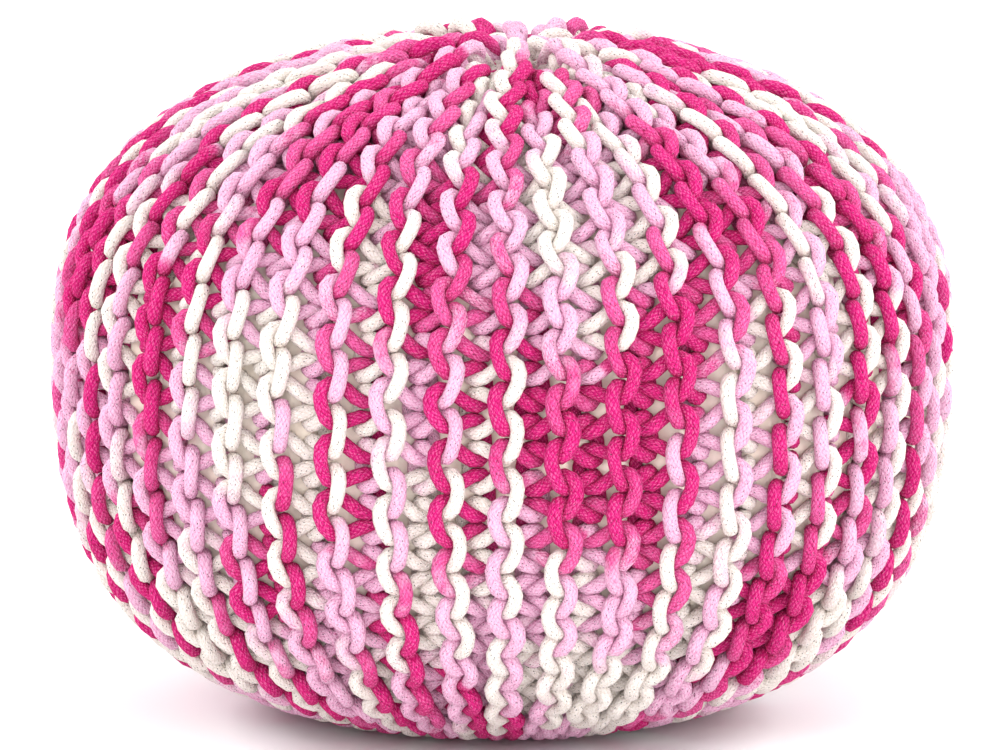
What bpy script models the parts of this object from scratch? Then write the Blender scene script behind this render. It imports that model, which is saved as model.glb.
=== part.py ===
"""A knitted pouf: a stuffed round casing inside a thick garter-stitch cover.

The cover's rows run from the top centre to the underside centre, so its
ridges stand up as meridians, and the open stitches of the valleys between
them are cut through. Sizes are in metres, +Z is up, and the origin is the
middle of the flat underside.
"""

import math

import bmesh
import bpy

# The form of the whole pouf, measured over the ridge crests
WIDEST_RADIUS = 0.250
WIDEST_LEVEL = 0.209
HEIGHT = 0.378
TOP_SQUARENESS = 2.32
BASE_SQUARENESS = 2.75
BASE_DEPTH = 0.2125

# The knitting: a ridge is two rows, and a stitch is one loop along a ridge
RIDGES = 48
STITCH = 0.030
CREST_HALF_WIDTH = 0.0052
RIDGE_HALF_WIDTH = 0.0113
RIDGE_HEIGHT = 0.0100
WIDEST_SHARE = 0.36
COVER_THICKNESS = 0.0250
CASING_CLEARANCE = 0.0006

# The gaps: every second stitch of a valley, over the middle of the pouf
GAP_HEIGHT = 0.0130
GAP_LEVELS = tuple(STITCH * place for place in (-5, -3, -1, 1, 3, 5))

# The gathered ends: the ridges merge in pairs, then draw into a pucker
TOP_LEVELS = ((0.190, 48), (0.226, 48), (0.258, 24), (0.286, 24), (0.309, 12))
BASE_LEVELS = ((-0.198, 48), (-0.236, 48), (-0.268, 24), (-0.296, 24))
DIMPLE_DEPTH = 0.012
FLAT_RADIUS = 0.081
FADE_LEVEL = 0.020


def clear_scene():
    """Remove everything the new file came with."""
    for item in list(bpy.data.objects):
        bpy.data.objects.remove(item, do_unlink=True)


def new_material(name, colour, roughness):
    """A plain cloth material."""
    material = bpy.data.materials.new(name)
    material.use_nodes = True
    shader = material.node_tree.nodes["Principled BSDF"]
    shader.inputs["Base Color"].default_value = (*colour, 1.0)
    shader.inputs["Roughness"].default_value = roughness
    shader.inputs["Metallic"].default_value = 0.0
    return material


def curve_point(angle):
    """Radius and height on the outer curve; the angle is 0 at the widest ring."""
    upper = angle > 0
    squareness = TOP_SQUARENESS if upper else BASE_SQUARENESS
    depth = HEIGHT - WIDEST_LEVEL if upper else BASE_DEPTH
    radius = WIDEST_RADIUS * abs(math.cos(angle)) ** (2 / squareness)
    rise = depth * abs(math.sin(angle)) ** (2 / squareness)
    return radius, WIDEST_LEVEL + math.copysign(rise, angle)


def curve_table(direction):
    """(distance, radius, height) along the outer curve from the widest ring."""
    rows = [(0.0, WIDEST_RADIUS, WIDEST_LEVEL)]
    for step in range(1, 601):
        radius, height = curve_point(direction * math.pi / 2 * step / 600)
        length = math.hypot(radius - rows[-1][1], height - rows[-1][2])
        rows.append((rows[-1][0] + length, radius, height))
    return rows


UPPER_CURVE = curve_table(1)
LOWER_CURVE = curve_table(-1)


def on_curve(distance):
    """Radius and height at this distance along the curve, up positive."""
    rows = UPPER_CURVE if distance > 0 else LOWER_CURVE
    reach = min(abs(distance), rows[-1][0] - 1e-6)
    for before, after in zip(rows, rows[1:]):
        if after[0] >= reach:
            part = (reach - before[0]) / (after[0] - before[0])
            radius = before[1] + part * (after[1] - before[1])
            return radius, before[2] + part * (after[2] - before[2])
    return rows[-1][1:]


def sunk(distance, depth):
    """The point this deep under the outer curve, square to it."""
    ahead, behind = on_curve(distance + 0.0005), on_curve(distance - 0.0005)
    along = (ahead[0] - behind[0], ahead[1] - behind[1])
    size = math.hypot(*along)
    radius, height = on_curve(distance)
    return radius - depth * along[1] / size, height + depth * along[0] / size


def half_angle(distance, ridges):
    """Half the angle that a ridge takes of its ring."""
    share = WIDEST_SHARE * 2 * math.pi / ridges
    return min(RIDGE_HALF_WIDTH / on_curve(distance)[0], share)


def outer_ring(distance, ridges):
    """The ring over the ridges: foot, two crest points and foot of each."""
    foot = half_angle(distance, ridges)
    shoulder = foot * CREST_HALF_WIDTH / RIDGE_HALF_WIDTH
    crest = on_curve(distance)
    fade = min(1.0, max(crest[1], 0.0) / FADE_LEVEL)
    valley = sunk(distance, RIDGE_HEIGHT * fade)
    ring = []
    for index in range(ridges):
        middle = index * 2 * math.pi / ridges
        ring.append((middle - foot, *valley))
        ring.append((middle - shoulder, *crest))
        ring.append((middle + shoulder, *crest))
        ring.append((middle + foot, *valley))
    return ring


def inner_ring(distance, ridges, depth):
    """The ring under the ridges, with a point below each ridge foot."""
    foot = half_angle(distance, ridges)
    point = sunk(distance, depth)
    ring = []
    for index in range(ridges):
        middle = index * 2 * math.pi / ridges
        ring.append((middle - foot, *point))
        ring.append((middle + foot, *point))
    return ring


def ring_levels():
    """(distance, ridges) of every ring from the underside up."""
    levels = list(reversed(BASE_LEVELS))
    for middle in GAP_LEVELS:
        levels.append((middle - GAP_HEIGHT / 2, RIDGES))
        levels.append((middle + GAP_HEIGHT / 2, RIDGES))
    return levels + list(TOP_LEVELS)


def add_ring(mesh, ring):
    """One vertex for each (angle, radius, height), kept with its angle."""
    made = []
    for angle, radius, height in ring:
        place = (radius * math.cos(angle), radius * math.sin(angle), height)
        made.append((angle, mesh.verts.new(place)))
    return made


def join_alike(mesh, lower, upper, inwards, open_every=0):
    """Four-sided faces between two rings alike, each open_every-th left out."""
    for index in range(len(lower)):
        after = (index + 1) % len(lower)
        corners = [lower[index][1], lower[after][1], upper[after][1], upper[index][1]]
        if open_every and index % open_every == open_every - 1:
            continue
        mesh.faces.new(corners[::-1] if inwards else corners)


def join_unlike(mesh, lower, upper, inwards):
    """Triangles between two rings with different numbers of points."""
    turn = 2 * math.pi
    low, high = 0, 0
    while low < len(lower) or high < len(upper):
        below, above = lower[low % len(lower)], upper[high % len(upper)]
        next_below, next_above = lower[(low + 1) % len(lower)], upper[(high + 1) % len(upper)]
        below_angle = next_below[0] + turn * ((low + 1) // len(lower))
        above_angle = next_above[0] + turn * ((high + 1) // len(upper))
        if high == len(upper) or (low < len(lower) and below_angle <= above_angle):
            corners = [below[1], next_below[1], above[1]]
            low += 1
        else:
            corners = [below[1], next_above[1], above[1]]
            high += 1
        mesh.faces.new(corners[::-1] if inwards else corners)


def join_rings(mesh, lower, upper, inwards=False, open_every=0):
    """Faces between two rings, whatever their numbers of points."""
    if len(lower) == len(upper):
        join_alike(mesh, lower, upper, inwards, open_every)
    else:
        join_unlike(mesh, lower, upper, inwards)


def close_end(mesh, ring, height, above, inwards):
    """Close an end with a fan of faces round one middle point."""
    middle = mesh.verts.new((0.0, 0.0, height))
    for one, other in zip(ring, ring[1:] + ring[:1]):
        corners = [one[1], other[1], middle]
        if above == inwards:
            corners.reverse()
        mesh.faces.new(corners)


def finish_object(name, mesh, material):
    """Turn the mesh into a named object, shaded smooth but for its edges."""
    bmesh.ops.recalc_face_normals(mesh, faces=mesh.faces)
    data = bpy.data.meshes.new(name)
    mesh.to_mesh(data)
    mesh.free()
    data.materials.append(material)
    data.shade_smooth()
    data.set_sharp_from_angle(angle=math.radians(65))
    made = bpy.data.objects.new(name, data)
    bpy.context.scene.collection.objects.link(made)
    return made


def line_gaps(mesh, outer_pair, inner_pair):
    """The four walls of each gap between two rings."""
    for ridge in range(RIDGES):
        outer_near, outer_far = 4 * ridge + 3, (4 * ridge + 4) % (4 * RIDGES)
        inner_near, inner_far = 2 * ridge + 1, (2 * ridge + 2) % (2 * RIDGES)
        outer = [outer_pair[0][outer_near], outer_pair[0][outer_far]]
        outer += [outer_pair[1][outer_far], outer_pair[1][outer_near]]
        inner = [inner_pair[0][inner_near], inner_pair[0][inner_far]]
        inner += [inner_pair[1][inner_far], inner_pair[1][inner_near]]
        for side in range(4):
            after = (side + 1) % 4
            corners = [outer[side], outer[after], inner[after], inner[side]]
            mesh.faces.new([corner[1] for corner in corners])


def make_cover(material):
    """The hollow knitted cover, with its ridges outside and its gaps cut."""
    mesh = bmesh.new()
    levels = ring_levels()
    outside, inside = [], []
    for distance, ridges in levels:
        outside.append(add_ring(mesh, outer_ring(distance, ridges)))
        inside.append(add_ring(mesh, inner_ring(distance, ridges, COVER_THICKNESS)))
    gap_starts = {len(BASE_LEVELS) + 2 * index for index in range(len(GAP_LEVELS))}
    for index in range(len(levels) - 1):
        has_gap = index in gap_starts
        join_rings(mesh, *outside[index:index + 2], False, 4 * has_gap)
        join_rings(mesh, *inside[index:index + 2], True, 2 * has_gap)
        if has_gap:
            line_gaps(mesh, outside[index:index + 2], inside[index:index + 2])
    flat = [(angle, FLAT_RADIUS, 0.0) for angle, _, _ in outer_ring(*levels[0])]
    flat_ring = add_ring(mesh, flat)
    join_rings(mesh, flat_ring, outside[0])
    close_end(mesh, flat_ring, 0.0, False, False)
    close_end(mesh, inside[0], COVER_THICKNESS, False, True)
    close_end(mesh, outside[-1], HEIGHT - DIMPLE_DEPTH, True, False)
    close_end(mesh, inside[-1], HEIGHT - COVER_THICKNESS, True, True)
    return finish_object("knitted_cover", mesh, material)


def make_casing(material):
    """The filled casing, one solid that fits the inside of the cover."""
    mesh = bmesh.new()
    depth = COVER_THICKNESS + CASING_CLEARANCE
    rings = []
    for distance, ridges in ring_levels():
        rings.append(add_ring(mesh, inner_ring(distance, ridges, depth)))
    for lower, upper in zip(rings, rings[1:]):
        join_rings(mesh, lower, upper)
    close_end(mesh, rings[0], depth, False, False)
    close_end(mesh, rings[-1], HEIGHT - depth, True, False)
    return finish_object("inner_casing", mesh, material)


clear_scene()
cord = new_material("braided_cord", (0.62, 0.16, 0.36), 0.85)
cloth = new_material("casing_cloth", (0.80, 0.74, 0.64), 0.80)
make_cover(cord)
make_casing(cloth)
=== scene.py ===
# %% [markdown]
# # A knitted pouf
#
# This lesson dresses a plain round solid as a pouf with a thick garter-stitch
# cover. On the real object a long braided cord runs up and down between the
# top centre and the underside centre, 96 rows in all if the back is like the
# front, and each row hooks through the loops of the row before it. A picture
# of knitting on a smooth ball would look flat at the outline, so we follow the
# cord itself: first its path for one stitch, then the path of every row, then
# a short relaxation that lets neighbouring cords push each other apart, and
# last a tube along it.

# %% Tools and the frame
import math

import bpy
import numpy as np
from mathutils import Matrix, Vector


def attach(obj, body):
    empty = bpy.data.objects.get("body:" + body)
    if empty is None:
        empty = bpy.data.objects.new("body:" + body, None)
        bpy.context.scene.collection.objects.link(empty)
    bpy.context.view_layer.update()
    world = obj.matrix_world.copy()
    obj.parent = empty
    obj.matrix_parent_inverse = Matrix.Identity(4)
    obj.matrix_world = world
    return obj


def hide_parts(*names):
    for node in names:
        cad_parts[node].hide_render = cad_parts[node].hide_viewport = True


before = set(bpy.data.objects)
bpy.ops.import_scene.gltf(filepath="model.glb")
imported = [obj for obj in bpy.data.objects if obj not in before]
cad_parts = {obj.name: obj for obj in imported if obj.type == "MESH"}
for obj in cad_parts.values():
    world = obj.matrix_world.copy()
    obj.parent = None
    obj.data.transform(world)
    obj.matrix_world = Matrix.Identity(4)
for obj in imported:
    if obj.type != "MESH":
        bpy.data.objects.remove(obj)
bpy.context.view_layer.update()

# %% [markdown]
# ## The outer curve
#
# The stuffed pouf is round all the way about, so one curve describes it. It
# could be drawn by hand, but two quarter superellipses, a squarer one below
# the widest ring and a rounder one above, need only six numbers. Points along
# the curve give, for any distance from the widest ring, the radius, the height
# and the direction square to the surface. The knitting is laid out in
# millimetres, because a cord is easier to think about that way, and turned
# into metres when its mesh is made.

# %% The outer curve
WIDEST_RADIUS = 250.0
WIDEST_LEVEL = 209.0
HEIGHT = 378.0
TOP_SQUARENESS = 2.32
BASE_SQUARENESS = 2.75
BASE_DEPTH = 212.5
CURVE_POINTS = 1501
NORMAL_REACH = 1.5
MM = 0.001


def half_curve(depth, squareness, direction):
    """Radius and height from the widest ring to a pole."""
    angle = np.linspace(0.0, math.pi / 2, CURVE_POINTS)
    radius = WIDEST_RADIUS * np.cos(angle).clip(0) ** (2 / squareness)
    height = WIDEST_LEVEL + direction * depth * np.sin(angle) ** (2 / squareness)
    return radius, height


upper_radius, upper_height = half_curve(HEIGHT - WIDEST_LEVEL, TOP_SQUARENESS, 1)
lower_radius, lower_height = half_curve(BASE_DEPTH, BASE_SQUARENESS, -1)
curve_radius = np.concatenate([lower_radius[::-1], upper_radius[1:]])
curve_height = np.concatenate([lower_height[::-1], upper_height[1:]])
steps = np.hypot(np.diff(curve_radius), np.diff(curve_height))
curve_distance = np.concatenate([[0.0], np.cumsum(steps)])
curve_distance -= curve_distance[len(lower_radius) - 1]
TOP_END, BASE_END = curve_distance[-1], curve_distance[0]
print("curve from", round(BASE_END, 1), "to", round(TOP_END, 1), "mm")


def on_curve(distance):
    """Radius, height and outward direction at these distances."""
    radius = np.interp(distance, curve_distance, curve_radius)
    height = np.interp(distance, curve_distance, curve_height)
    ahead, behind = distance + NORMAL_REACH, distance - NORMAL_REACH
    along_r = np.interp(ahead, curve_distance, curve_radius)
    along_r = along_r - np.interp(behind, curve_distance, curve_radius)
    along_z = np.interp(ahead, curve_distance, curve_height)
    along_z = along_z - np.interp(behind, curve_distance, curve_height)
    size = np.hypot(along_r, along_z).clip(1e-9)
    return radius, height, along_z / size, -along_r / size


def place(distance, angle, depth):
    """Points this deep under the outer curve, as an array of x, y, z."""
    radius, height, out_r, out_z = on_curve(distance)
    r = radius - depth * out_r
    return np.stack([r * np.cos(angle), r * np.sin(angle), height - depth * out_z], -1)


# %% [markdown]
# ## One stitch of the cord
#
# In garter stitch every ridge is made by two rows. The left half of a ridge is the low loops of one
# row, the right half is the heads of the row before, and both dive under each other at their ends.
# The table below is the path of one stitch of a row: across the rows, along the row, and out from the
# middle of the cloth, in millimetres. Its points were placed looking at how the cord bends in the
# photo. The next row is its mirror image, shifted by half a stitch, so this one short table serves
# the whole cover.

# %% One stitch of the cord
CORD = 7.9
STITCH = 30.0
RIDGE_PITCH = 31.0
RIDGES = 48
STITCHES = 24
STITCH_RISE = 9.5
LAYER_TOP = STITCH_RISE + CORD / 2
COVER_THICKNESS = 28.0
STITCH_PATH = np.array([
    (-5.6, -16.3, 9.4), (-6.6, -10.6, 8.9), (-4.4, -6.6, 5.7),
    (0.2, -6.2, 1.7), (5.4, -8.9, 0.0), (9.5, -12.9, -0.1),
    (14.1, -16.0, -1.4), (18.3, -16.1, -5.1), (20.8, -12.5, -8.6),
    (21.1, -6.9, -9.5), (20.2, -1.3, -9.0), (18.6, 3.9, -7.6),
    (15.2, 6.4, -3.8), (10.5, 5.4, -0.9), (5.7, 2.6, 0.6),
    (1.9, 1.2, 3.2), (-1.2, 3.1, 7.1), (-3.7, 8.1, 8.9),
])
print("points in one stitch:", len(STITCH_PATH))


# %% From one stitch to a whole row
def smooth_path(points, count):
    """A curve through control points, at count even steps of each span."""
    before = points[:-3, None]
    start, end = points[1:-2, None], points[2:-1, None]
    after = points[3:, None]
    u = (np.arange(count) / count)[None, :, None]
    curve = (
        2 * start
        + (end - before) * u
        + (2 * before - 5 * start + 4 * end - after) * u**2
        + (3 * start - before - 3 * end + after) * u**3
    )
    return 0.5 * curve.reshape(-1, 3)


def even_spacing(points, count):
    """The same path at count evenly spaced points."""
    steps = np.linalg.norm(np.diff(points, axis=0), axis=1)
    walked = np.concatenate([[0.0], np.cumsum(steps)])
    wanted = np.linspace(0.0, walked[-1], count)
    return np.stack([np.interp(wanted, walked, points[:, c]) for c in range(3)], -1)


POINTS_PER_STITCH = 28
POINTS_PER_SPAN = 12


def long_row(shift):
    """The path of a whole row in layout millimetres, along the row from 0."""
    shifts = np.array([[0.0, STITCH * i, 0.0] for i in range(-2, STITCHES + 2)])
    repeated = (STITCH_PATH[None] + shifts[:, None]).reshape(-1, 3)
    repeated[:, 1] += shift
    fine = smooth_path(repeated, POINTS_PER_SPAN)
    first, last = -STITCH / 2, STITCH * (STITCHES - 0.5)
    inside = (fine[:, 1] > first) & (fine[:, 1] < last)
    begin, end = np.flatnonzero(inside)[[0, -1]]
    return even_spacing(fine[begin:end + 1], STITCHES * POINTS_PER_STITCH)


low_row = long_row(0.0)
high_row = long_row(STITCH / 2)
low_row_length = float(np.linalg.norm(np.diff(low_row, axis=0), axis=1).sum())
print("cord per stitch:", round(low_row_length / STITCHES, 1), "mm")

# %% [markdown]
# ## Every row, laid on the pouf
#
# A row keeps its angle while the pouf narrows, so near the poles there is no
# room for 48 ridges side by side. Shrinking the cord there would look wrong,
# because a real cord has one thickness. So, as on the real cover, every second
# ridge slips under its neighbours, and then every second one of the rest.
# Hand knitting is uneven, so rows, stitches and ridges wander a little, always
# in the same seeded way.

# %% Every row laid on the pouf
KNIT_SEED = 7
chance = np.random.default_rng(KNIT_SEED)
ROWS = 2 * RIDGES
POLE_MARGIN = 10.0
# some stitches, and the distance from the widest ring at which each one lies
LEVEL_STITCH = np.array([-0.5, 5.0, 13.0, 19.0, 23.5])
LEVEL_DISTANCE = np.array(
    [BASE_END + POLE_MARGIN, -222.0, 19.0, 200.0, TOP_END - POLE_MARGIN]
)
UNEVEN_WIDTH = 0.07
UNEVEN_PLACE = 0.5
UNEVEN_LEVEL = 1.5
UNEVEN_STITCH = 0.7
RIDGE_SWAY = 1.5
RIDGE_SWAY_POINTS = 12


def wander(rows, count, knots, amount):
    """Smooth seeded wandering for each row, count values long."""
    values = chance.normal(0.0, amount, (rows, knots))
    where = np.linspace(0, knots - 1, count)
    low = np.floor(where).astype(int).clip(0, knots - 2)
    part = where - low
    part = part * part * (3 - 2 * part)
    return values[:, low] * (1 - part) + values[:, low + 1] * part


def ease(value):
    """0 below 0, 1 above 1, and smooth between."""
    value = np.clip(value, 0.0, 1.0)
    return value * value * (3 - 2 * value)


COUNT = len(low_row)
across = np.empty((ROWS, COUNT))
along = np.empty((ROWS, COUNT))
out = np.empty((ROWS, COUNT))
across[0::2], along[0::2], out[0::2] = low_row[:, 0], low_row[:, 1], low_row[:, 2]
across[1::2], along[1::2], out[1::2] = -high_row[:, 0], high_row[:, 1], high_row[:, 2]
ridge_order = np.arange(ROWS) // 2 + np.arange(ROWS) % 2
ridge_of_row = ridge_order % RIDGES
ridge_wander = wander(RIDGES, COUNT, RIDGE_SWAY_POINTS, RIDGE_SWAY)
across = across * (1.0 + wander(ROWS, COUNT, STITCHES * 2, UNEVEN_WIDTH))
across = across + ridge_wander[ridge_of_row]
across = across + wander(ROWS, COUNT, STITCHES * 2, UNEVEN_PLACE)
along = along + wander(1, COUNT, STITCHES, UNEVEN_LEVEL)
along = along + wander(ROWS, COUNT, STITCHES, UNEVEN_STITCH)
out = out + wander(ROWS, COUNT, STITCHES * 2, UNEVEN_PLACE)

# %% Ridges that slip under near the poles
DIVE_SECOND, DIVE_FOURTH, DIVE_EIGHTH = 172.0, 88.0, 46.0
DIVE_UNEVEN = 0.10
DIVE_SLOPE, BASE_DIVE_SLOPE = 0.3, 0.2
DIVE_DEPTH, DIVE_MORE_AT_POLE = 10.0, 8.0
BASE_DIVE_SHARE = 0.62
FRONT_FROM, FRONT_OVER = -9.0, 14.0
CROWN_EDGE, CROWN_FADE = 95.0, 40.0
MIDDLE_EDGE, MIDDLE_FADE = 12.0, 20.0
ROUGH_EDGE, ROUGH_FADE = 170.0, 60.0
NEAR_POLE_EDGE, NEAR_POLE_FADE = 80.0, 60.0
LUMP_LOW, LUMP_HIGH = -3.0, 7.0
CROWN_ROUGHNESS_OUT, CROWN_ROUGHNESS_ACROSS = 1.6, 3.6
distance = np.interp(along / STITCH, LEVEL_STITCH, LEVEL_DISTANCE)
ring_radius = on_curve(distance)[0]
front = ease((out - FRONT_FROM) / FRONT_OVER)
dive_radius = np.zeros(RIDGES)
dive_radius[1::2] = DIVE_SECOND
dive_radius[2::4] = DIVE_FOURTH
dive_radius[4::8] = DIVE_EIGHTH
dive_radius *= 1.0 + chance.normal(0, DIVE_UNEVEN, RIDGES)
dive_at = dive_radius[ridge_of_row][:, None]
dive = ease((dive_at - ring_radius) / (DIVE_SLOPE * dive_at + 1.0)) * (dive_at > 0)
base_dive = ease((BASE_DIVE_SHARE * dive_at - ring_radius) / (BASE_DIVE_SLOPE * dive_at + 1.0))
above = distance > 0
dive = dive * np.where(above, 1.0, base_dive)
crown = ease((CROWN_EDGE - ring_radius) / CROWN_FADE)
crown = crown * ease((ring_radius - MIDDLE_EDGE) / MIDDLE_FADE) * above
lumps = chance.uniform(LUMP_LOW, LUMP_HIGH, RIDGES)[ridge_of_row][:, None]
rough_crown = ease((ROUGH_EDGE - ring_radius) / ROUGH_FADE) * above
near_pole = ease((NEAR_POLE_EDGE - ring_radius) / NEAR_POLE_FADE) * above
out = out - (DIVE_DEPTH + DIVE_MORE_AT_POLE * near_pole) * dive * front
out = out + lumps * crown * front * (1 - dive)
out = out + rough_crown * front * wander(ROWS, COUNT, STITCHES, CROWN_ROUGHNESS_OUT)

# %% Ridges spread out, and the rows laid on the curve
WIDEST_SPREAD = 1.9
SPREAD_REACH = 6.0
# the first ridge stands almost in the middle of the front
FIRST_ANGLE = -math.pi / 2 + math.radians(0.6)
local_pitch = 2 * math.pi * (ring_radius - LAYER_TOP).clip(1) / RIDGES
spread = np.clip(RIDGE_PITCH / local_pitch, 1.0, WIDEST_SPREAD) - 1.0
across = across + spread * (1 - dive) * np.clip(across, -SPREAD_REACH, SPREAD_REACH)
crown_sway = wander(RIDGES, COUNT, RIDGE_SWAY_POINTS, CROWN_ROUGHNESS_ACROSS)
across = across + rough_crown * crown_sway[ridge_of_row]
turn = 2 * math.pi / RIDGES
angle = FIRST_ANGLE + turn * (ridge_order[:, None] + across / RIDGE_PITCH)
cords = place(distance, angle, LAYER_TOP - out)
print("rows, points in a row:", cords.shape[:2])

# %% [markdown]
# ## Letting the cords settle
#
# Cords can't pass through each other. A cloth simulation is made for sheets,
# so a short loop does this instead. Each of its rounds smooths the cords a
# little, brings every piece of cord back to its length, and pushes apart any
# two that are closer than one cord's thickness. Points are sorted into cubic
# cells, so that only near neighbours are compared.

# %% Which points are near each other
CELL = 9.0


def near_pairs(points):
    """Index pairs of points that are closer than a cell."""
    cell = np.floor((points - points.min(0)) / CELL).astype(np.int64) + 1
    size = cell.max(0) + 2
    key = (cell[:, 0] * size[1] + cell[:, 1]) * size[2] + cell[:, 2]
    order = np.argsort(key, kind="stable")
    sorted_key = key[order]
    firsts, seconds = [], []
    for dx in (-1, 0, 1):
        for dy in (-1, 0, 1):
            for dz in (-1, 0, 1):
                step = (dx * size[1] + dy) * size[2] + dz
                if step < 0:
                    continue
                left = np.searchsorted(sorted_key, key + step, "left")
                right = np.searchsorted(sorted_key, key + step, "right")
                number = right - left
                first = np.repeat(np.arange(len(key)), number)
                begin = np.repeat(np.cumsum(number) - number, number)
                second = order[np.arange(len(first)) - begin + np.repeat(left, number)]
                if step == 0:
                    keep = first < second
                    first, second = first[keep], second[keep]
                gap = points[first] - points[second]
                keep = np.einsum("ij,ij->i", gap, gap) < CELL * CELL
                firsts.append(first[keep])
                seconds.append(second[keep])
    return np.concatenate(firsts), np.concatenate(seconds)


# %% Letting the cords settle
TENSION = 0.95
UNEVEN_LENGTH = 0.055
THIN_SHARE, THIN_FROM, THIN_OVER = 0.50, 18.0, 75.0
CROWN_LIFT, LIFT_FROM, LIFT_OVER = 7.5, 110.0, 50.0
POLE_SINK, SINK_FROM, SINK_OVER = 14.0, 80.0, 50.0
OWN_REACH = 1.5
ROUNDS = 100
PAIR_EVERY = 8
PRINT_EVERY = 20
SMOOTHING = 0.22
LENGTH_PASSES = 3
LENGTH_SHARE = 0.4
PUSH_SHARE = 0.55
DEPTH_SHARE = 0.5
HOME_PULL = 0.01
FLOOR_GAP = 0.2
FAR_FROM_HOME = 9.0


def settle(cords):
    """Relax all rows together."""
    rows, count, _ = cords.shape
    rest = np.linalg.norm(np.diff(cords, axis=1), axis=2)
    rest = rest * (TENSION + wander(ROWS, count - 1, int(STITCHES * 1.5), UNEVEN_LENGTH))
    # where the cords crowd together near the poles, they may sink into each other
    radius = on_curve(distance)[0].reshape(-1)
    thickness = THIN_SHARE + (1.0 - THIN_SHARE) * ease((radius - THIN_FROM) / THIN_OVER)
    thickness = CORD * thickness
    base_r, base_z, out_r, out_z = on_curve(distance)
    home = cords.copy()
    raised = CROWN_LIFT * ease((LIFT_FROM - base_r) / LIFT_OVER) * (base_z > WIDEST_LEVEL)
    deeper = POLE_SINK * ease((SINK_FROM - base_r) / SINK_OVER)
    highest, lowest = CORD / 2 - raised, COVER_THICKNESS - CORD / 2 + deeper
    near_along = int(math.ceil(CORD * OWN_REACH / rest.mean()))
    for step in range(ROUNDS):
        inner = cords[:, 2:-2]
        target = (4 * (cords[:, 1:-3] + cords[:, 3:-1]) - cords[:, :-4] - cords[:, 4:]) / 6
        cords[:, 2:-2] = inner + SMOOTHING * (target - inner)
        for _ in range(LENGTH_PASSES):
            gap = np.diff(cords, axis=1)
            size = np.linalg.norm(gap, axis=2, keepdims=True).clip(1e-6)
            fix = LENGTH_SHARE * (size - rest[..., None]) * gap / size
            cords[:, :-1] += fix
            cords[:, 1:] -= fix
        flat = cords.reshape(-1, 3)
        if step % PAIR_EVERY == 0:
            first, second = near_pairs(flat)
            one_row = first // count == second // count
            same = one_row & (np.abs(first - second) < near_along)
            first, second = first[~same], second[~same]
            touch = 0.5 * (thickness[first] + thickness[second])
        gap = flat[first] - flat[second]
        size = np.sqrt(np.einsum("ij,ij->i", gap, gap)).clip(1e-3)
        hit = size < touch
        a, b, g = first[hit], second[hit], gap[hit]
        push = g * (0.5 * (touch[hit] - size[hit]) / size[hit])[:, None]
        moved = np.zeros_like(flat)
        for c in range(3):
            forward = np.bincount(a, push[:, c], len(flat))
            moved[:, c] = forward - np.bincount(b, push[:, c], len(flat))
        times = np.bincount(a, minlength=len(flat)) + np.bincount(b, minlength=len(flat))
        flat = flat + PUSH_SHARE * moved / np.sqrt(times.clip(1))[:, None]
        cords = flat.reshape(rows, count, 3)
        # keep inside the outer curve and outside the casing
        around = np.hypot(cords[..., 0], cords[..., 1]).clip(1e-6)
        depth = (base_r - around) * out_r + (base_z - cords[..., 2]) * out_z
        wanted = np.clip(depth, highest, lowest)
        shift = DEPTH_SHARE * (depth - wanted)
        scale = shift * out_r / around
        cords[..., 0] += cords[..., 0] * scale
        cords[..., 1] += cords[..., 1] * scale
        cords[..., 2] += shift * out_z
        cords = cords + HOME_PULL * (home - cords)
        cords[..., 2] = np.maximum(cords[..., 2], CORD / 2 + FLOOR_GAP)
        if step % PRINT_EVERY == 0 or step == ROUNDS - 1:
            sunk = (touch - size)[hit]
            print("round", step, "pairs", len(first), "overlap, deepest and mean:")
            print("   ", round(float(sunk.max()), 2), round(float(sunk.mean()), 3), "mm")
    astray = np.linalg.norm(cords - home, axis=2) > FAR_FROM_HOME
    print("points far from home:", int(astray.sum()), "in", int(astray.any(1).sum()), "rows")
    return cords


cords = settle(cords)

# %% [markdown]
# ## The gathered centre
#
# The gathered centre of the real cover lies a little to the right of the
# middle. The whole curve could be bent, but only the knitting near the top
# lies off the middle, so it alone is drawn sideways by a few millimetres.

# %% The gathered centre
POLE_SHIFT = 8.0
SHIFT_FROM, SHIFT_OVER = 150.0, 130.0
from_middle = np.hypot(cords[..., 0], cords[..., 1])
drawn = ease((SHIFT_FROM - from_middle) / SHIFT_OVER) * (cords[..., 2] > WIDEST_LEVEL)
cords[..., 0] += POLE_SHIFT * drawn
print("points drawn sideways:", int((drawn > 0).sum()))

# %% [markdown]
# ## Colour along the cord
#
# The cord is dyed in long sections of fuchsia, lilac and cream, and knitted
# to and fro, so each row carries on where the row before it ended. Painting
# spots on the pouf wouldn't give the short streaks that this makes, so the
# colour is worked out along the cord. One skein does for four rows here, and
# every dyed section has a seeded length. Some lilac ones are so short that
# fuchsia and cream meet. The number "dye" grows by one for each whole round of
# the colours, and the material later looks up the colour.

# %% The length of every row
def lengths_along(path):
    """Distance walked along each row, in millimetres."""
    steps = np.linalg.norm(np.diff(path, axis=1), axis=2)
    return np.concatenate([np.zeros((len(path), 1)), np.cumsum(steps, axis=1)], axis=1)


walked = lengths_along(cords)
total_cord = float(walked[:, -1].sum()) * MM
print("cord in the cover:", round(total_cord, 1), "m")

# %% The dyed sections of a skein
ROUND_LENGTH = 1300.0
SECTION_SHARE = np.array([0.33, 0.19, 0.27, 0.21])
SECTION_SPREAD = 0.37
SKIP_CHANCE = 0.35
SKIPPED_LENGTH = 30.0
DYE_ROUNDS = 15
SECTIONS = len(SECTION_SHARE) * DYE_ROUNDS
DYE_SEED = 45


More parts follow.
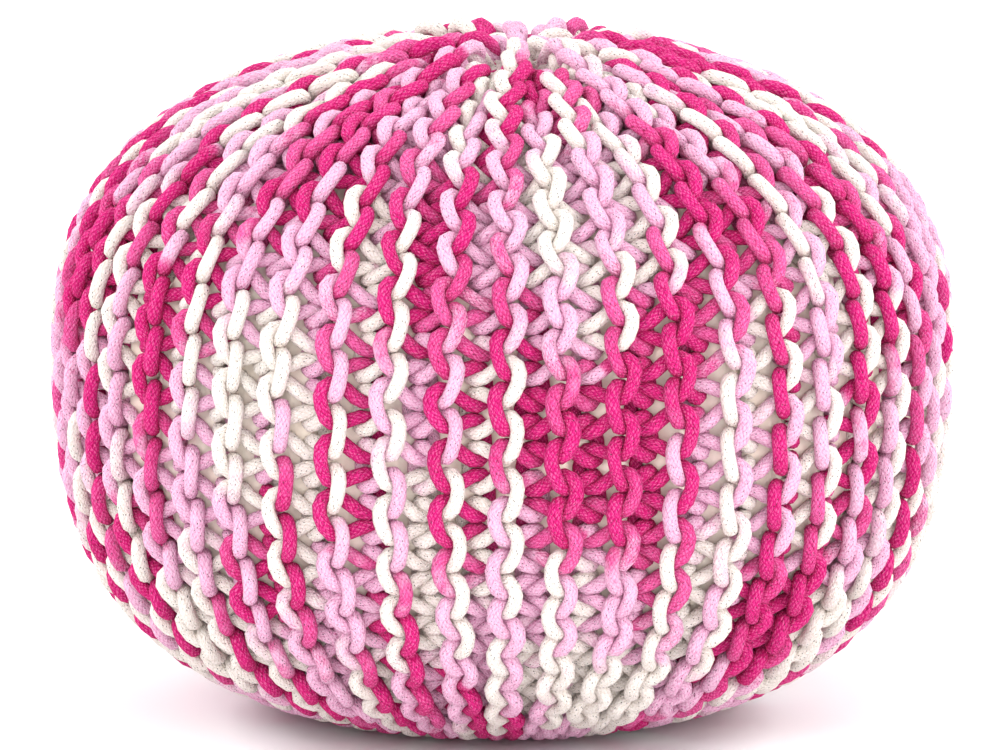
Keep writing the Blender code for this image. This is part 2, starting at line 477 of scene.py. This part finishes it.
def skein_sections(number):
    """Where each dyed section of a skein ends, in millimetres from its start."""
    skein = np.random.default_rng([DYE_SEED, number])
    uneven = skein.lognormal(0.0, SECTION_SPREAD, SECTIONS)
    length = ROUND_LENGTH * np.tile(SECTION_SHARE, DYE_ROUNDS) * uneven
    lilac = np.arange(SECTIONS) % 2 == 1
    length[(skein.random(SECTIONS) < SKIP_CHANCE) & lilac] = SKIPPED_LENGTH
    return np.concatenate([[0.0], np.cumsum(length)])


print("dyed sections of the first skein, in mm:", np.diff(skein_sections(0))[:8].round())

# %% Colour along the cord
SKEIN_ROWS = 4
section_dye = np.concatenate([[0.0], np.cumsum(np.tile(SECTION_SHARE, DYE_ROUNDS))])
dye = np.empty(cords.shape[:2])
for row in range(ROWS):
    if row % SKEIN_ROWS == 0:
        start, section_end = 0.0, skein_sections(row // SKEIN_ROWS)
    length = walked[row, -1]
    where = walked[row] if row % 2 == 0 else length - walked[row]
    dye[row] = np.interp(start + where, section_end, section_dye)
    start += length
skein_lengths = walked[:, -1].reshape(-1, SKEIN_ROWS).sum(1)
print("longest skein:", round(float(skein_lengths.max()) * MM, 2), "m")

# %% [markdown]
# ## Fewer points where the cord is straight
#
# A tube needs many rings where it bends and few where it runs straight. Even
# spacing would waste rings on the straight runs, so the rows are sampled again
# with their points shared out by how much they bend. The cord is a little
# thinner where it is drawn tight at the poles, and nowhere quite even.

# %% Fewer points where the cord is straight
RINGS_PER_STITCH = 19
SIDES = 10
STRAIGHT_WEIGHT = 0.35
# each row starts at another place of the fibres' pattern, so no two look alike
ROW_OFFSET = 37.0
TIGHT_SHARE, TIGHT_FROM, TIGHT_OVER = 0.08, 10.0, 30.0
UNEVEN_THICKNESS = 0.04
bend = np.linalg.norm(cords[:, 2:] - 2 * cords[:, 1:-1] + cords[:, :-2], axis=2)
bend = np.pad(bend, ((0, 0), (1, 1)), mode="edge")
bend = (np.roll(bend, 1, 1) + bend + np.roll(bend, -1, 1)) / 3
weight = np.sqrt(bend) + STRAIGHT_WEIGHT
shared = np.cumsum(0.5 * (weight[:, 1:] + weight[:, :-1]), axis=1)
shared = np.concatenate([np.zeros((ROWS, 1)), shared], axis=1)
rings = RINGS_PER_STITCH * STITCHES
ring_points = np.empty((ROWS, rings, 3))
ring_along = np.empty((ROWS, rings))
ring_dye = np.empty((ROWS, rings))
for row in range(ROWS):
    wanted = np.linspace(0.0, shared[row, -1], rings)
    for c in range(3):
        ring_points[row, :, c] = np.interp(wanted, shared[row], cords[row, :, c])
    ring_along[row] = np.interp(wanted, shared[row], walked[row]) + ROW_OFFSET * row
    ring_dye[row] = np.interp(wanted, shared[row], dye[row])
ring_radius = np.hypot(ring_points[..., 0], ring_points[..., 1])
loose = ease((ring_radius - TIGHT_FROM) / TIGHT_OVER)
ring_thick = 0.5 * CORD * ((1.0 - TIGHT_SHARE) + TIGHT_SHARE * loose)
ring_thick = ring_thick * (1.0 + wander(ROWS, rings, rings // 2, UNEVEN_THICKNESS))
print("rings", ring_points.shape, "triangles", ROWS * rings * SIDES * 2)

# %% [markdown]
# ## The cord's material
#
# The cord is a braided cotton tube with dark flecks spun into it. Modelling its ten strands would
# need far too many faces, so the braid is drawn by the material. Two values carried by the mesh, the
# distance along the cord and the direction round it, make the braid's V shapes and the streaks of the
# fibres. These give the bump, a painted shade in the small hollows between the strands and a painted
# highlight on the fibres that stand out. A third value, "dye", picks the colour.

# %% Short calls for node trees
class Tree:
    """Short calls to build a node tree."""

    def __init__(self, tree):
        self.tree = tree

    def node(self, kind, inputs=(), **settings):
        made = self.tree.nodes.new(kind)
        for key, value in settings.items():
            setattr(made, key, value)
        for socket, value in dict(inputs).items():
            self.feed(made.inputs[socket], value)
        return made

    def feed(self, socket, value):
        """Links a socket or a node, or sets a plain value."""
        if isinstance(value, bpy.types.NodeSocket):
            self.tree.links.new(value, socket)
        elif isinstance(value, bpy.types.Node):
            self.tree.links.new(value.outputs[0], socket)
        else:
            socket.default_value = value

    def math(self, operation, a, b=0.0, c=0.0):
        return self.node("ShaderNodeMath", {0: a, 1: b, 2: c}, operation=operation)

    def blend(self, share, a, b):
        made = self.node("ShaderNodeMix", data_type="RGBA")
        for socket, value in ((0, share), (6, a), (7, b)):
            self.feed(made.inputs[socket], value)
        return made.outputs[2]

    def vector(self, operation, *inputs):
        return self.node("ShaderNodeVectorMath", dict(enumerate(inputs)), operation=operation)

    def ramp(self, value, stops):
        made = self.node("ShaderNodeValToRGB", {0: value})
        ramp = made.color_ramp
        while len(ramp.elements) > 1:
            ramp.elements.remove(ramp.elements[-1])
        ramp.elements[0].position = stops[0][0]
        ramp.elements[0].color = stops[0][1]
        for place_at, colour in stops[1:]:
            ramp.elements.new(place_at).color = colour
        return made.outputs[0]


def linear(red, green, blue):
    """A colour for a shader from the 0 to 255 values a screen shows."""
    values = [v / 255 for v in (red, green, blue)]
    curved = [v / 12.92 if v <= 0.04045 else ((v + 0.055) / 1.055) ** 2.4 for v in values]
    return (*curved, 1.0)


def new_material(name):
    material = bpy.data.materials.new(name)
    material.use_nodes = True
    material.node_tree.nodes.clear()
    return material, Tree(material.node_tree)


# %% Colours of the cord
FUCHSIA = linear(208, 33, 120)
PINK = linear(221, 88, 152)
LILAC = linear(236, 184, 213)
CREAM = linear(241, 234, 227)
FLECK = linear(48, 46, 46)
# the colour of the painted highlight on the fibres
PAINTED_FIBRE_HIGHLIGHT = linear(255, 215, 225)
DYE_STOPS = [
    (0.0, FUCHSIA), (0.17, FUCHSIA), (0.245, PINK), (0.28, PINK), (0.305, LILAC), (0.47, LILAC),
    (0.51, CREAM), (0.765, CREAM), (0.80, LILAC), (0.95, LILAC), (0.97, PINK), (1.0, FUCHSIA),
]
print("colour stops in one round of the dye:", len(DYE_STOPS))

# %% Sizes and strengths of the braid, the fibres, the flecks, the painted shade and the painted highlight
STRANDS, BRAID_PITCH = 10, 3.4
PLIES, PLY_SHARE = 2, 0.22
TWIST = 0.24
WOBBLE, SOFT_SCALE, FIBRE_SCALE = 1.2, 120.0, 900.0
STREAK_ALONG, STREAK_ROUND = 0.45, 7.0
STREAK_SHARE, BRAID_SHARE, FIBRE_SHARE, GROUND = 2.6, 0.65, 0.6, -0.87
RAGGED_STREAK, RAGGED_SOFT = 0.03, 0.05
# painted shade in the hollows between strands, and where cords lie close to each other
SHADE_SHIFT, DARKEST, LIGHTEST = -0.08, 0.28, 1.25
BATCH_ALONG, BATCH_SHARE = 0.012, 0.5
PAINTED_SHADE_REACH, PAINTED_SHADE_SHARE = 7.0 * MM, 0.30
# how strong the painted highlight on the fibres is
LIT_GAIN, LIT_SHIFT, LIT_MOST = 0.30, -0.33, 0.18
FLECK_ALONG, FLECK_ROUND = 0.42, 0.65 * CORD / 2
FLECK_SIZE, FLECK_STRENGTH = 0.17, 0.85
BRAID_DEPTH = 0.9 * MM
print("strands round the cord:", STRANDS, "repeat along it:", BRAID_PITCH, "mm")


# %% The cord's material
def noise(t, vector, scale, detail):
    """The grey value of a noise texture."""
    inputs = {"Vector": vector, "Scale": scale, "Detail": detail}
    return t.node("ShaderNodeTexNoise", inputs).outputs["Fac"]


def make_cord_material():
    material, t = new_material("braided_cotton")
    along = t.node("ShaderNodeAttribute", attribute_name="along").outputs["Fac"]
    dye_at = t.node("ShaderNodeAttribute", attribute_name="dye").outputs["Fac"]
    ring = t.node("ShaderNodeAttribute", attribute_name="ring").outputs["Vector"]
    split = t.node("ShaderNodeSeparateXYZ", {0: ring})
    turn_at = t.math("ARCTAN2", split.outputs[1], split.outputs[0])
    where = t.node("ShaderNodeTexCoord").outputs["Object"]
    soft = noise(t, where, SOFT_SCALE, 2.0)
    fibre = noise(t, where, FIBRE_SCALE, 2.0)
    wobble = t.math("MULTIPLY_ADD", soft, WOBBLE, -WOBBLE / 2)

    # two families of strands cross each other, one up and one down
    around = t.math("MULTIPLY_ADD", turn_at, STRANDS / (2 * math.pi), wobble)
    up = t.math("MULTIPLY_ADD", along, 1.0 / BRAID_PITCH, wobble)
    left = t.math("ADD", around, up)
    right = t.math("SUBTRACT", around, up)
    parity = t.math("MODULO", t.math("ADD", t.math("FLOOR", left), t.math("FLOOR", right)), 2.0)
    parity = t.math("ABSOLUTE", parity)

    def strand(over, under):
        arch = t.math("SINE", t.math("MULTIPLY", t.math("FRACT", over), math.pi))
        ply = t.math("SINE", t.math("MULTIPLY", under, 2 * math.pi * PLIES))
        side = t.math("SINE", t.math("MULTIPLY", t.math("FRACT", under), math.pi))
        height = t.math("MULTIPLY", arch, t.math("POWER", side, 0.5))
        return t.math("MULTIPLY_ADD", ply, PLY_SHARE, height)

    first, second = strand(left, right), strand(right, left)
    mixed = t.math("MULTIPLY_ADD", parity, t.math("SUBTRACT", second, first), first)

    # fibres lean one way in one family, and the other way in the other
    lean = t.math("MULTIPLY_ADD", parity, TWIST, -TWIST / 2)
    leaning = t.math("MULTIPLY_ADD", along, lean, turn_at)
    thread = t.node("ShaderNodeCombineXYZ", {
        0: t.math("MULTIPLY", along, STREAK_ALONG),
        1: t.math("MULTIPLY", t.math("COSINE", leaning), STREAK_ROUND),
        2: t.math("MULTIPLY", t.math("SINE", leaning), STREAK_ROUND),
    })
    streak = noise(t, thread, 1.0, 2.0)
    height = t.math("MULTIPLY_ADD", mixed, BRAID_SHARE, GROUND)
    height = t.math("MULTIPLY_ADD", streak, STREAK_SHARE, height)
    height = t.math("MULTIPLY_ADD", fibre, FIBRE_SHARE, height)

    # the dye ends raggedly, a little earlier in one fibre than in the next
    ragged = t.math("MULTIPLY_ADD", t.math("SUBTRACT", streak, 0.5), RAGGED_STREAK, dye_at)
    ragged = t.math("ADD", ragged, t.math("MULTIPLY_ADD", soft, RAGGED_SOFT, -RAGGED_SOFT / 2))
    colour = t.ramp(t.math("FRACT", ragged), DYE_STOPS)

    # painted shade: the colour is deepened in the hollows between the strands, where the height is
    # low, and through an occlusion node where cords lie close to each other, as light bouncing about
    # in a hollow would deepen it; a pale colour loses least, and the tone also changes slowly at
    # random along the cord
    shade = t.math("ADD", height, SHADE_SHIFT)
    shade = t.node("ShaderNodeClamp", {0: shade, 1: DARKEST, 2: LIGHTEST})
    batch = t.node("ShaderNodeCombineXYZ", {0: t.math("MULTIPLY", along, BATCH_ALONG)})
    batch = t.math("MULTIPLY_ADD", noise(t, batch, 1.0, 1.0), BATCH_SHARE, 1.0 - BATCH_SHARE / 2)
    shade = t.math("MULTIPLY", shade, batch)
    # painted shade where cords lie close to each other, from an occlusion node
    painted_crevice_shade = t.node("ShaderNodeAmbientOcclusion", {"Distance": PAINTED_SHADE_REACH}, samples=4)
    painted_crevice_shade = t.math("MULTIPLY_ADD", painted_crevice_shade.outputs["AO"], PAINTED_SHADE_SHARE, 1.0 - PAINTED_SHADE_SHARE)
    shade = t.math("MULTIPLY", shade, painted_crevice_shade)
    lost = t.vector("MULTIPLY_ADD", colour, t.math("SUBTRACT", shade, 1.0), (1.0, 1.0, 1.0))
    colour = t.vector("DIVIDE", t.vector("MULTIPLY", colour, shade), lost)

    # a painted highlight on the fibres that stand out furthest
    light = t.math("MULTIPLY_ADD", height, LIT_GAIN, LIT_SHIFT)
    light = t.node("ShaderNodeClamp", {0: light, 1: 0.0, 2: LIT_MOST})
    colour = t.blend(light, colour, PAINTED_FIBRE_HIGHLIGHT)

    # dark flecks are spun into the cotton
    speck_at = t.node("ShaderNodeCombineXYZ", {
        0: t.math("MULTIPLY", along, FLECK_ALONG),
        1: t.math("MULTIPLY", split.outputs[0], FLECK_ROUND),
        2: t.math("MULTIPLY", split.outputs[1], FLECK_ROUND),
    })
    flecks = t.node("ShaderNodeTexVoronoi", {"Vector": speck_at, "Scale": 1.0, "Randomness": 1.0})
    fleck = t.math("LESS_THAN", flecks.outputs["Distance"], FLECK_SIZE)
    colour = t.blend(t.math("MULTIPLY", fleck, FLECK_STRENGTH), colour, FLECK)

    bump = t.node("ShaderNodeBump", {"Height": height, "Strength": 0.75, "Distance": BRAID_DEPTH})
    shader = t.node("ShaderNodeBsdfPrincipled", {
        "Base Color": colour, "Roughness": 0.88, "Normal": bump,
        "Sheen Weight": 0.03, "Sheen Roughness": 0.5, "Specular IOR Level": 0.06,
    })
    t.node("ShaderNodeOutputMaterial", {"Surface": shader.outputs[0]})
    return material


cord_material = make_cord_material()
print("nodes in the cord's material:", len(cord_material.node_tree.nodes))

# %% [markdown]
# ## A tube along every row
#
# Geometry Nodes sweep a small circle along the rows. A curve object with a
# bevel would do that too, but it couldn't carry our numbers along. The circle
# carries its own direction as an attribute, so that the material knows which
# side of the cord it is on. The rows are shared out to six meshes, to keep
# each of them small.

# %% The nodes that sweep a tube
def make_tube_tree(material):
    tree = bpy.data.node_groups.new("cord along a path", "GeometryNodeTree")
    face = tree.interface
    face.new_socket("Geometry", in_out="INPUT", socket_type="NodeSocketGeometry")
    sides = face.new_socket("Sides", in_out="INPUT", socket_type="NodeSocketInt")
    sides.default_value = SIDES
    face.new_socket("Geometry", in_out="OUTPUT", socket_type="NodeSocketGeometry")
    t = Tree(tree)
    inside = t.node("NodeGroupInput")
    curve = t.node("GeometryNodeMeshToCurve", {"Mesh": inside.outputs["Geometry"]})
    circle = t.node("GeometryNodeCurvePrimitiveCircle", {
        "Resolution": inside.outputs["Sides"], "Radius": 1.0,
    })
    position = t.node("GeometryNodeInputPosition")
    marked = t.node("GeometryNodeStoreNamedAttribute", {
        "Geometry": circle.outputs[0], "Name": "ring", "Value": position.outputs[0],
    }, data_type="FLOAT_VECTOR", domain="POINT")
    thick = t.node("GeometryNodeInputNamedAttribute", {"Name": "thick"}, data_type="FLOAT")
    tube = t.node("GeometryNodeCurveToMesh", {
        "Curve": curve.outputs[0], "Profile Curve": marked.outputs[0],
        "Scale": thick.outputs[0], "Fill Caps": True,
    })
    smooth = t.node("GeometryNodeSetShadeSmooth", {"Geometry": tube.outputs[0], "Shade Smooth": True})
    real = t.node("GeometryNodeRealizeInstances", {"Geometry": smooth.outputs[0]})
    dressed = t.node("GeometryNodeSetMaterial", {"Geometry": real.outputs[0], "Material": material})
    t.node("NodeGroupOutput", {"Geometry": dressed.outputs[0]})
    return tree, sides.identifier


tube_tree, sides_input = make_tube_tree(cord_material)
print("nodes that sweep a tube:", len(tube_tree.nodes))


# %% The rows as edges, and the tubes as plain meshes
def path_mesh(name, rows):
    """Edges along these rows, with what the tube and its material need."""
    points = (ring_points[rows] * MM).reshape(-1, 3)
    number = len(points)
    first = np.arange(number).reshape(-1, rings)[:, :-1].reshape(-1)
    mesh = bpy.data.meshes.new(name)
    mesh.vertices.add(number)
    mesh.vertices.foreach_set("co", points.astype(np.float32).reshape(-1))
    mesh.edges.add(len(first))
    pairs = np.stack([first, first + 1], 1).astype(np.int32)
    mesh.edges.foreach_set("vertices", pairs.reshape(-1))
    carried = {"thick": ring_thick * MM, "along": ring_along, "dye": ring_dye}
    for label, values in carried.items():
        layer = mesh.attributes.new(label, "FLOAT", "POINT")
        layer.data.foreach_set("value", values[rows].astype(np.float32).reshape(-1))
    mesh.update()
    return mesh


def made_plain(obj, name):
    """What the modifiers of obj make, as a plain mesh object."""
    graph = bpy.context.evaluated_depsgraph_get()
    mesh = bpy.data.meshes.new_from_object(obj.evaluated_get(graph))
    bpy.data.objects.remove(obj)
    plain = bpy.data.objects.new(name, mesh)
    bpy.context.scene.collection.objects.link(plain)
    return plain


def triangles(obj):
    obj.data.calc_loop_triangles()
    return len(obj.data.loop_triangles)


# %% A tube along every row
PIECES = 6
yarn = []
for piece in range(PIECES):
    rows = np.arange(piece * ROWS // PIECES, (piece + 1) * ROWS // PIECES)
    name = f"yarn_rows_{piece + 1}"
    guide = bpy.data.objects.new("guide", path_mesh("guide", rows))
    bpy.context.scene.collection.objects.link(guide)
    sweep = guide.modifiers.new("cord", "NODES")
    sweep.node_group = tube_tree
    sweep[sides_input] = SIDES
    made = made_plain(guide, name)
    yarn.append(made)
    print(name, triangles(made), "triangles", [m.name for m in made.data.materials])

# %% [markdown]
# ## The casing inside
#
# Under the knitting sits a filled cotton casing. It shows only through the
# gaps, as cream cloth. A plain smaller pouf would either poke through the
# cords or leave dark holes, so each point of a grid goes just under the
# nearest cords, and bulges out a little where a gap leaves it room.

# %% How deep the cloth lies
AROUND, UP = 360, 150
FREE_DEPTH = 11.5
SLOPE = 1.1
REACH = 14.0
COLUMNS_REACH = 6
SMALLEST_RING = 4.0
CLOTH_GAP = 0.5


def cloth_depth():
    """How deep the cloth lies at each point of a grid, under all the cords."""
    level_step = (TOP_END - BASE_END) / UP
    depth = np.full((UP + 1, AROUND), FREE_DEPTH)
    points = cords[:, ::2].reshape(-1, 3)
    level = distance[:, ::2].reshape(-1)
    around = np.hypot(points[:, 0], points[:, 1]).clip(1e-6)
    # the level straight outside each point of the cords, found in three steps
    for _ in range(3):
        base_r, base_z, out_r, out_z = on_curve(level)
        tangent = (around - base_r) * out_z - (points[:, 2] - base_z) * out_r
        level = np.clip(level - tangent, BASE_END, TOP_END)
    base_r, base_z, out_r, out_z = on_curve(level)
    deep = (base_r - around) * out_r + (base_z - points[:, 2]) * out_z
    turn_at = np.arctan2(points[:, 1], points[:, 0]) % (2 * math.pi)
    row = (level - BASE_END) / level_step
    column = turn_at / (2 * math.pi) * AROUND
    rows_reach = int(REACH / level_step) + 1
    for dr in range(-rows_reach, rows_reach + 1):
        i = np.rint(row).astype(int) + dr
        inside = (i >= 0) & (i <= UP)
        ring_at = on_curve(BASE_END + i.clip(0, UP) * level_step)[0].clip(SMALLEST_RING)
        for dc in range(-COLUMNS_REACH, COLUMNS_REACH + 1):
            j = np.rint(column).astype(int) + dc
            gap_up = (i - row) * level_step
            gap_side = (j - column) * 2 * math.pi / AROUND * ring_at
            gap = np.hypot(gap_up, gap_side)
            near = inside & (gap < REACH)
            # the cloth lies below a cord, and rises beside it
            under = np.sqrt((CORD**2 / 4 - gap**2).clip(0))
            low = np.where(gap < CORD / 2, under, -SLOPE * (gap - CORD / 2))
            needed = (deep + low + CLOTH_GAP)[near]
            np.maximum.at(depth, (i[near], j[near] % AROUND), needed)
    return depth


# %% The casing's mesh
DEEPEST = COVER_THICKNESS + 14.0
POLE_DEPTH = COVER_THICKNESS + 12.0
CALM_MARGIN = 0.6


def make_casing():
    depth = cloth_depth()
    calm = depth.copy()
    # evened out twice, and at most a little shallower than the cords allow
    for _ in range(2):
        wide = np.pad(calm, ((1, 1), (0, 0)), mode="edge")
        calm = (wide[:-2] + wide[2:] + np.roll(calm, 1, 1) + np.roll(calm, -1, 1) + 4 * calm) / 8
    depth = np.maximum(calm, depth - CALM_MARGIN).clip(FREE_DEPTH, DEEPEST)
    levels = np.linspace(BASE_END, TOP_END, UP + 1)[1:-1]
    turn_at = np.arange(AROUND) * 2 * math.pi / AROUND
    grid_level, grid_turn = np.meshgrid(levels, turn_at, indexing="ij")
    body = place(grid_level, grid_turn, depth[1:-1])
    top = place(np.array([TOP_END]), np.array([0.0]), POLE_DEPTH)[0]
    base = place(np.array([BASE_END]), np.array([0.0]), POLE_DEPTH)[0]
    top[:2] = base[:2] = 0.0
    verts = np.concatenate([body.reshape(-1, 3), base[None], top[None]]) * MM
    faces = []
    for i in range(len(levels) - 1):
        for j in range(AROUND):
            k = (j + 1) % AROUND
            low, high = i * AROUND, (i + 1) * AROUND
            faces.append((low + j, low + k, high + k, high + j))
    last = (len(levels) - 1) * AROUND
    for j in range(AROUND):
        k = (j + 1) % AROUND
        faces.append((len(verts) - 2, k, j))
        faces.append((last + j, last + k, len(verts) - 1))
    mesh = bpy.data.meshes.new("cotton_casing")
    mesh.from_pydata(verts.tolist(), [], faces)
    mesh.shade_smooth()
    obj = bpy.data.objects.new("cotton_casing", mesh)
    bpy.context.scene.collection.objects.link(obj)
    print("cloth depth", depth.min().round(1), np.median(depth).round(1), depth.max().round(1))
    return obj


casing = make_casing()
print("casing", triangles(casing), "triangles")


# %% The casing's cloth
CLOTH_TONES = [(0.3, linear(253, 240, 224)), (0.7, linear(255, 245, 232))]
WEAVE_DEPTH = 0.4 * MM


def make_casing_material():
    material, t = new_material("casing_cloth")
    where = t.node("ShaderNodeTexCoord").outputs["Object"]
    colour = t.ramp(noise(t, where, 40.0, 3.0), CLOTH_TONES)
    fine = noise(t, where, FIBRE_SCALE, 2.0)
    bump = t.node("ShaderNodeBump", {"Height": fine, "Strength": 0.4, "Distance": WEAVE_DEPTH})
    shader = t.node("ShaderNodeBsdfPrincipled", {
        "Base Color": colour, "Roughness": 0.9, "Normal": bump, "Sheen Weight": 0.15,
    })
    t.node("ShaderNodeOutputMaterial", {"Surface": shader.outputs[0]})
    return material


casing.data.materials.append(make_casing_material())
print("casing's material:", [m.name for m in casing.data.materials])

# %% [markdown]
# ## Handing the pieces over
#
# The CAD model knows the pouf as two solids on one body. Each piece rides on that body and stands for
# its solid.

# %% Handing the pieces over
for made in yarn:
    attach(made, "root")
    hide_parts("knitted_cover")
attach(casing, "root")
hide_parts("inner_casing")
print("pieces:", [made.name for made in yarn] + [casing.name])

# %% [markdown]
# ## Floor, light and camera
#
# The photo shows the pouf on pure white, lit almost evenly. A curved backdrop
# would do, but the camera looks down a little, so a wide pale floor fills the
# whole picture behind the pouf. Two broad lights stand at the front left and
# the front right, with a low one between them, a faint one overhead and soft
# light from all round. Two more light the floor behind. The camera stands far
# off with a long lens, so that the outline is as flat as in the photo.

# %% The floor
FLOOR_HALF = 40.0
FLOOR_TONES = [(0.0, linear(240, 240, 240)), (1.0, linear(244, 244, 244))]


def make_floor():
    corners = [(-1, -1), (1, -1), (1, 1), (-1, 1)]
    verts = [(x * FLOOR_HALF, y * FLOOR_HALF, 0.0) for x, y in corners]
    mesh = bpy.data.meshes.new("floor")
    mesh.from_pydata(verts, [], [(0, 1, 2, 3)])
    floor = bpy.data.objects.new("floor", mesh)
    bpy.context.scene.collection.objects.link(floor)
    material, t = new_material("pale_floor")
    where = t.node("ShaderNodeTexCoord").outputs["Object"]
    colour = t.ramp(noise(t, where, 3.0, 2.0), FLOOR_TONES)
    shader = t.node("ShaderNodeBsdfPrincipled", {"Base Color": colour, "Roughness": 0.8})
    t.node("ShaderNodeOutputMaterial", {"Surface": shader.outputs[0]})
    mesh.materials.append(material)


make_floor()
print("floor:", 2 * FLOOR_HALF, "m across")


# %% The lights
def area_light(name, power, size, position, aim):
    light = bpy.data.lights.new(name, "AREA")
    light.energy, light.size = power, size
    obj = bpy.data.objects.new(name, light)
    obj.location = position
    obj.rotation_euler = (Vector(aim) - Vector(position)).to_track_quat("-Z", "Y").to_euler()
    bpy.context.scene.collection.objects.link(obj)


area_light("key", 49.0, 1.4, (-1.5, -2.9, 1.7), (0, 0, 0.18))
area_light("fill", 45.0, 1.4, (2.1, -2.5, 1.2), (0, 0, 0.18))
area_light("low front", 23.0, 1.2, (0.2, -3.4, 0.35), (0, 0, 0.12))
area_light("overhead", 3.0, 1.6, (0.0, 0.4, 2.6), (0, 0, 0.2))
area_light("floor left", 150.0, 1.5, (-3.5, 1.2, 2.6), (-0.8, 2.2, 0.0))
area_light("floor right", 150.0, 1.5, (3.5, 1.2, 2.6), (0.8, 2.2, 0.0))

# %% Soft light from all round
WORLD_STRENGTH = 0.93
bpy.context.scene.view_settings.view_transform = "Standard"
world = bpy.data.worlds.new("soft sky")
world.use_nodes = True
background = world.node_tree.nodes["Background"]
background.inputs["Color"].default_value = (1.0, 1.0, 1.0, 1.0)
background.inputs["Strength"].default_value = WORLD_STRENGTH
bpy.context.scene.world = world
print("strength of the soft light:", WORLD_STRENGTH)

# %% The camera
CAMERA_DISTANCE = 6.0
CAMERA_TILT = math.radians(10.0)
LENS_PER_METRE = 65.2
AIM = Vector((-0.0014, 0.0, 0.188))
camera_data = bpy.data.cameras.new("camera")
camera_data.sensor_width = 36.0
camera_data.lens = LENS_PER_METRE * CAMERA_DISTANCE
camera_data.clip_end = 100.0
camera = bpy.data.objects.new("camera", camera_data)
back = Vector((0.0, -math.cos(CAMERA_TILT), math.sin(CAMERA_TILT)))
camera.location = AIM + back * CAMERA_DISTANCE
camera.rotation_euler = (-back).to_track_quat("-Z", "Y").to_euler()
bpy.context.scene.collection.objects.link(camera)
bpy.context.scene.camera = camera
print("camera at", tuple(round(v, 3) for v in camera.location), "m")
